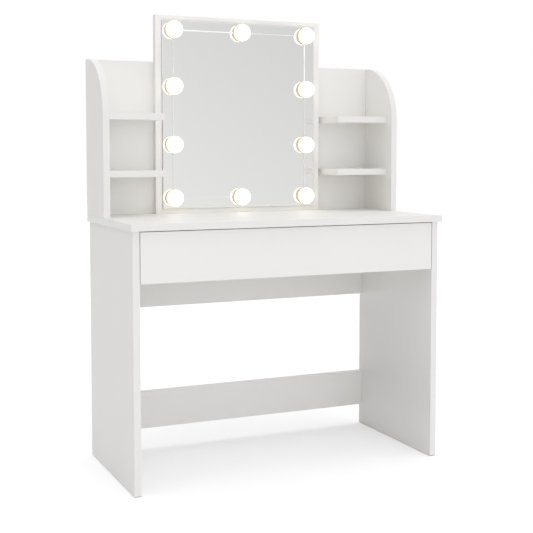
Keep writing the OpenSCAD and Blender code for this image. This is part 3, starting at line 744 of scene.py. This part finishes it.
@dataclass(frozen=True)
class Board:
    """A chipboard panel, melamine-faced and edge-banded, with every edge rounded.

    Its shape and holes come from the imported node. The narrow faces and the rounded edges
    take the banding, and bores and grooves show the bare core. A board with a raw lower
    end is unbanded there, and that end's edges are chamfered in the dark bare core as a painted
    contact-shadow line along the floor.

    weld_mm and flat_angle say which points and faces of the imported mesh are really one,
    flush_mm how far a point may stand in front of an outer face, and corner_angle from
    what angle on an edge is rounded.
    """

    node: str
    edge: Edge = Edge.BANDED
    round_mm: float = 0.8
    foot_shade_mm: float = 2.0
    steps: int = 3
    weld_mm: float = 0.001
    flush_mm: float = 0.02
    flat_angle: float = math.radians(0.05)
    corner_angle: float = math.radians(30)

    def build(self) -> bpy.types.Object:
        """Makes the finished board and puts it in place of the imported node.

        Returns:
            The board's object.
        """
        source = frame["nodes"][self.node]
        work = bmesh.new()
        work.from_mesh(source.data)
        bmesh.ops.remove_doubles(work, verts=work.verts, dist=self.weld_mm * MM)
        bmesh.ops.dissolve_limit(work, angle_limit=self.flat_angle, verts=work.verts,
                                 edges=work.edges, delimit={"NORMAL"})
        outer = {face for face in work.faces if self.is_outer(face, work)}
        self.sort_faces(work, outer)
        # The foot's edges are chamfered in dark bare core, which paints a contact-shadow line
        # where the leg meets the floor.
        if self.edge is Edge.RAW_BELOW:
            foot_shade_edges = [edge for edge in work.edges if self.is_corner(edge, outer)
                    and any(face.normal.z < -MOSTLY for face in edge.link_faces)]
            self.cut_back(work, foot_shade_edges, self.foot_shade_mm, 1, Layer.CORE)
            outer = {face for face in outer if face.is_valid}
        corners = [edge for edge in work.edges if self.is_corner(edge, outer)]
        self.cut_back(work, corners, self.round_mm, self.steps, Layer.BANDING)
        board = new_object(f"{self.node}_finished", work, MELAMINE, BANDING, CHIPBOARD)
        normals = board.modifiers.new("flat faces stay flat", "WEIGHTED_NORMAL")
        normals.keep_sharp = True
        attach(board, source["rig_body"])
        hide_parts(self.node)
        return board

    def is_outer(self, face: bmesh.types.BMFace, work: bmesh.types.BMesh) -> bool:
        """Says whether the whole board lies behind a face, so that it isn't in a hole."""
        point = face.verts[0].co
        return all((v.co - point).dot(face.normal) < self.flush_mm * MM for v in work.verts)

    def is_corner(self, edge: bmesh.types.BMEdge, outer: set[bmesh.types.BMFace]) -> bool:
        """Says whether an edge is a sharp one between two outer faces."""
        faces = edge.link_faces
        return (len(faces) == 2 and all(face in outer for face in faces)
                and faces[0].normal.angle(faces[1].normal) > self.corner_angle)

    def sort_faces(self, work: bmesh.types.BMesh, outer: set[bmesh.types.BMFace]) -> None:
        """Gives each face the slot of the layer that it shows.

        Args:
            work: the board's mesh.
            outer: its faces that aren't in a hole or groove.
        """
        low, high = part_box(self.node)
        size = high - low
        across = min(range(3), key=lambda axis: size[axis])
        for face in work.faces:
            raw_end = self.edge is Edge.RAW_BELOW and face.normal.z < -MOSTLY
            if face not in outer or raw_end:
                face.material_index = Layer.CORE
            elif abs(face.normal[across]) > MOSTLY:
                face.material_index = Layer.FACE
            else:
                face.material_index = Layer.BANDING

    @staticmethod
    def cut_back(work: bmesh.types.BMesh, edges: list[bmesh.types.BMEdge], size_mm: float,
                 steps: int, layer: Layer) -> None:
        """Bevels edges of a board.

        Args:
            work: the board's mesh.
            edges: the edges that are cut back.
            size_mm: how far they are cut back.
            steps: how many flats make up the bevel.
            layer: what the bevel shows.
        """
        cut = bmesh.ops.bevel(work, geom=edges, offset=size_mm * MM, segments=steps,
                              affect="EDGES", profile=0.5, clamp_overlap=True)
        for face in cut["faces"]:
            face.material_index = layer


# ---------------------------------------------------------------- sub-assemblies


@dataclass(frozen=True)
class Carcass:
    """The table itself: top, two leg panels standing on the floor, and two back rails."""

    top: str = "tabletop"
    top_round_mm: float = 1.0
    legs: tuple[str, ...] = tuple(f"leg_panel_{side.value}" for side in Side)
    rails: tuple[str, ...] = ("upper_back_rail", "lower_back_rail")

    def build(self) -> None:
        """Makes the boards. The leg panels aren't banded where they meet the floor."""
        Board(self.top, round_mm=self.top_round_mm).build()
        for leg in self.legs:
            # Their chamfered bare-core feet paint a contact-shadow line along the floor.
            Board(leg, edge=Edge.RAW_BELOW).build()
        for rail in self.rails:
            Board(rail).build()


@dataclass(frozen=True)
class Hutch:
    """The upper part: side panels with a rounded corner, a back panel and four shelves."""

    back: str = "hutch_back_panel"
    sides: tuple[str, ...] = tuple(f"hutch_side_{side.value}" for side in Side)
    shelves: tuple[str, ...] = tuple(
        f"shelf_{side.value}_{row.value}" for side in Side for row in Row)

    def build(self) -> None:
        """Makes the boards."""
        for node in (self.back, *self.sides, *self.shelves):
            Board(node).build()


@dataclass(frozen=True)
class MirrorPanel:
    """The mirror glass on its tall board."""

    board: str = "mirror_board"
    glass: str = "mirror_glass"

    def build(self) -> None:
        """Makes the board and silvers the glass."""
        Board(self.board).build()
        dress(self.glass, MIRROR)


@dataclass(frozen=True)
class LampString:
    """Ten lamps stuck on the glass, with the cable that joins them.

    Two runs of the cable are white: the left one of the top row, and the top one of the
    right column. The others are clear. top_lamp and second_row_lamp are the numbers of
    lamps in those rows, row_reach_mm is how far below the top row's middle its cable may
    lie, and chip_share is how much of the LED boards' depth the LEDs take up.
    """

    count: int = 10
    top_lamp: int = 6
    second_row_lamp: int = 8
    row_reach_mm: float = 3.0
    chip_share: float = 0.35

    def build(self) -> None:
        """Dresses the globes, bases, LED boards, pads and cable."""
        low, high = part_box("lamp_globe_1")
        opal = OpalGlobe("opal_acrylic_lit", back_y=high.y, front_y=low.y)
        for number in range(1, self.count + 1):
            dress(f"lamp_base_{number}", PAINTED_WARM_LIGHT_MOULDING)
            dress(f"lamp_globe_{number}", opal)
        low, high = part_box("lamp_led_boards")
        board_front_y = low.y + self.chip_share * (high.y - low.y)
        dress("lamp_led_boards", CircuitBoard("led_board_white_mask", chips_front_y=low.y,
                                              board_front_y=board_front_y))
        dress("lamp_pads", FOAM)
        for sheath in Sheath:
            self.cable(sheath)

    def cable(self, sheath: Sheath) -> bpy.types.Object:
        """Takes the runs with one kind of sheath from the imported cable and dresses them.

        Args:
            sheath: the kind of sheath.

        Returns:
            The runs as one object.
        """
        source = frame["nodes"]["lamp_wires"]
        work = bmesh.new()
        work.from_mesh(source.data)
        top, second = self.height(self.top_lamp), self.height(self.second_row_lamp)
        others = [face for face in work.faces
                  if self.sheath_at(face.calc_center_median(), top, second) is not sheath]
        bmesh.ops.delete(work, geom=others, context="FACES")
        runs = new_object(f"lamp_cable_{sheath.value}", work, SHEATHS[sheath])
        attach(runs, source["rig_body"])
        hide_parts("lamp_wires")
        return runs

    def sheath_at(self, spot: Vector, top: float, second: float) -> Sheath:
        """Tells which sheath the cable has at a point.

        Args:
            spot: a point on the cable.
            top: the height of the top row of lamps.
            second: the height of the row below it.

        Returns:
            The sheath of the run that the point is on.
        """
        in_top_row = spot.z > top - self.row_reach_mm * MM
        white = spot.x < 0 if in_top_row else spot.x > 0 and spot.z > second
        return Sheath.WHITE if white else Sheath.CLEAR

    @staticmethod
    def height(lamp: int) -> float:
        """Returns the height of a lamp's middle."""
        low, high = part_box(f"lamp_globe_{lamp}")
        return (low.z + high.z) / 2


@dataclass(frozen=True)
class Drawer:
    """The drawer box: a front flush with the legs, thinner sides and back, and its bottom."""

    front: str = "drawer_front"
    walls: tuple[str, ...] = ("drawer_side_left", "drawer_side_right", "drawer_back")
    wall_round_mm: float = 0.5
    bottom: str = "drawer_bottom"

    def build(self) -> None:
        """Makes the boards and dresses the bottom."""
        Board(self.front).build()
        for wall in self.walls:
            Board(wall, round_mm=self.wall_round_mm).build()
        dress(self.bottom, HARDBOARD)


@dataclass(frozen=True)
class RollerRunners:
    """Two pairs of folded steel runners, each member with its own nylon roller."""

    owners: tuple[str, ...] = ("cabinet", "drawer")

    def build(self) -> None:
        """Dresses runners and rollers."""
        for owner in self.owners:
            for side in Side:
                dress(f"{owner}_runner_{side.value}", POWDER_COAT)
                dress(f"{owner}_roller_{side.value}", NYLON)


@dataclass(frozen=True)
class Fittings:
    """The knock-down fittings, screws and dowels that hold the boards together."""

    cast: tuple[str, ...] = ("cam_housings", "drawer_cams")
    plated: tuple[str, ...] = ("cam_bolts", "drawer_cam_bolts", "confirmat_screws",
                               "mirror_board_screws", "cabinet_runner_screws", "drawer_screws")
    wooden: tuple[str, ...] = ("wood_dowels", "drawer_dowels")

    def build(self) -> None:
        """Dresses every fitting."""
        for nodes, finish in ((self.cast, CAST_ZINC), (self.plated, ZINC), (self.wooden, BEECH)):
            for node in nodes:
                dress(node, finish)


# ---------------------------------------------------------------- studio


@dataclass(frozen=True)
class FloorPaint(Finish):
    """Matt white floor paint, rolled out with the faintest cloud.

    It is seen a little brighter than it is lit, so that only the table's shadow shows.
    """

    pale: str = "F9F9FB"
    cloud: str = "F7F7F9"
    cloud_mm: float = 600.0
    roughness: float = 0.9
    specular: float = 0.2
    lift: float = 0.22

    def shade(self, coat: Coat) -> None:
        """Builds matt paint with a lift for the eye and for reflections.

        Args:
            coat: the material in the making.
        """
        coat.all_over(Roughness=self.roughness, Specular_IOR_Level=self.specular,
                      Emission_Color=linear(WHITE))
        cloud = coat.pattern("TexNoise", self.cloud_mm, Detail=2.0)
        coat.vary(cloud.outputs["Fac"], colour=(self.cloud, self.pale))
        lift = add_node(coat.tree, "Math", operation="MULTIPLY",
                        in0=directly_seen(coat.tree), in1=self.lift)
        coat.tree.links.new(lift.outputs[0], coat.surface.inputs["Emission Strength"])


@dataclass(frozen=True)
class FlatPaint(Finish):
    """Grey scenic paint drawn as a glow, with painted shading that darkens it towards the right
    and the top.

    level is its brightness at the origin, and fall is its change per metre on each axis.
    """

    level: float = 0.965
    painted_falloff: tuple[float, float, float] = (-0.044, 0.0, -0.054)

    def shade(self, coat: Coat) -> None:
        """Builds a glow, with painted shading by position, in place of the usual shader.

        Args:
            coat: the material in the making.
        """
        tree = coat.tree
        tree.nodes.remove(coat.surface)
        # The glow darkens by position: painted shading on the flat.
        painted_falloff = add_node(tree, "VectorMath", operation="DOT_PRODUCT", in0=coat.place, in1=self.painted_falloff)
        level = add_node(tree, "Math", operation="ADD", use_clamp=True,
                         in0=painted_falloff.outputs["Value"], in1=self.level)
        shader = add_node(tree, "Emission", Strength=level.outputs[0])
        tree.links.new(shader.outputs[0], tree.nodes["Material Output"].inputs["Surface"])


@dataclass(frozen=True)
class Flat:
    """A tall curved flat in front of the table, which only reflections show.

    It is an arc round the table, out to an angle of reach on either side of the front.
    """

    radius: float = 6.0
    height: float = 5.0
    reach: float = math.radians(115)
    steps: int = 48

    def build(self) -> None:
        """Stands the flat on the floor."""
        work = bmesh.new()
        columns = []
        for step in range(self.steps + 1):
            angle = self.reach * (2 * step / self.steps - 1)
            foot = Vector((math.sin(angle), -math.cos(angle), 0)) * self.radius
            columns.append([work.verts.new(foot + Vector((0, 0, z))) for z in (0, self.height)])
        for left, right in zip(columns, columns[1:]):
            work.faces.new((left[0], right[0], right[1], left[1]))
        flat = new_object("studio_flat", work, FlatPaint("grey_flat"))
        flat.visible_camera = False
        flat.visible_diffuse = False
        flat.visible_shadow = False
        flat.visible_transmission = False


@dataclass(frozen=True)
class SoftLight:
    """A wide, soft light far away. The higher its focus, the narrower it is."""

    towards: tuple[float, float, float]
    focus: float
    level: float


@dataclass(frozen=True)
class Studio:
    """A plain white studio: floor, soft light, a grey flat for the mirror, and a camera.

    The lights stand in front, on the right, at the upper left, at the upper right and
    behind, and the last is the ceiling. lens_length and lens_drop are in sensor widths.
    """

    floor_size: float = 40.0
    lights: tuple[SoftLight, ...] = (
        SoftLight((0.0, -0.985, 0.174), focus=12.0, level=1.84),
        SoftLight((0.951, -0.255, 0.174), focus=12.0, level=1.66),
        SoftLight((-0.641, -0.299, 0.707), focus=12.0, level=0.79),
        SoftLight((0.5, -0.5, 0.707), focus=12.0, level=0.36),
        SoftLight((0.0, 1.0, 0.0), focus=2.0, level=0.30),
        SoftLight((0.0, 0.0, 1.0), focus=2.0, level=1.38),
    )
    sensor_mm: float = 36.0
    lens_length: float = 1.9520
    lens_drop: float = 0.09
    camera_at: tuple[float, float, float] = (-1.31758, -2.94635, 0.95851)
    camera_turn: float = math.radians(-24.213)
    camera_tilt: float = math.radians(3.707)

    def build(self) -> None:
        """Sets up everything round the object."""
        self.floor()
        Flat().build()
        self.world()
        self.camera()
        bpy.context.scene.view_settings.view_transform = "Standard"

    def floor(self) -> None:
        """Lays a pale painted floor."""
        bpy.ops.mesh.primitive_plane_add(size=self.floor_size)
        floor = bpy.context.object
        floor.name = "studio_floor"
        floor.data.materials.append(FloorPaint("painted_floor").material())

    def world(self) -> None:
        """Lights everything softly, and shows white behind the object and in reflections."""
        world = bpy.data.worlds.new("white_studio")
        bpy.context.scene.world = world
        world.use_nodes = True
        tree = world.node_tree
        direction = add_node(tree, "TexCoord").outputs["Generated"]
        strength = 0.0
        for light in self.lights:
            facing = add_node(tree, "VectorMath", operation="DOT_PRODUCT",
                              in0=direction, in1=light.towards)
            ahead = add_node(tree, "Math", operation="MAXIMUM",
                             in0=facing.outputs["Value"], in1=0.0)
            lobe = add_node(tree, "Math", operation="POWER", in0=ahead.outputs[0], in1=light.focus)
            strength = add_node(tree, "Math", operation="MULTIPLY_ADD", in0=lobe.outputs[0],
                                in1=light.level, in2=strength).outputs[0]
        lit = tree.nodes["Background"]
        lit.inputs["Color"].default_value = linear(WHITE)
        tree.links.new(strength, lit.inputs["Strength"])
        seen = add_node(tree, "Background", Color=linear(WHITE), Strength=1.0)
        mix = add_node(tree, "MixShader", in0=directly_seen(tree),
                       in1=lit.outputs[0], in2=seen.outputs[0])
        tree.links.new(mix.outputs[0], tree.nodes["World Output"].inputs["Surface"])

    def camera(self) -> None:
        """Sets the camera in front of the table and to its left, tilted down a little."""
        lens = bpy.data.cameras.new("camera")
        lens.sensor_width = self.sensor_mm
        lens.lens = self.lens_length * self.sensor_mm
        lens.shift_y = -self.lens_drop
        camera = bpy.data.objects.new("camera", lens)
        bpy.context.scene.collection.objects.link(camera)
        camera.location = self.camera_at
        camera.rotation_euler = (math.radians(90) - self.camera_tilt, 0, self.camera_turn)
        bpy.context.scene.camera = camera


# ---------------------------------------------------------------- the whole table


def main() -> None:
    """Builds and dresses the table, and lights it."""
    logging.basicConfig(level=logging.INFO, format="%(name)s: %(message)s")
    parts = (Carcass(), Hutch(), MirrorPanel(), LampString(), Drawer(), RollerRunners(),
             Fittings(), Studio())
    for part in parts:
        LOG.info("building %s", type(part).__name__)
        part.build()


if __name__ == "__main__":
    main()
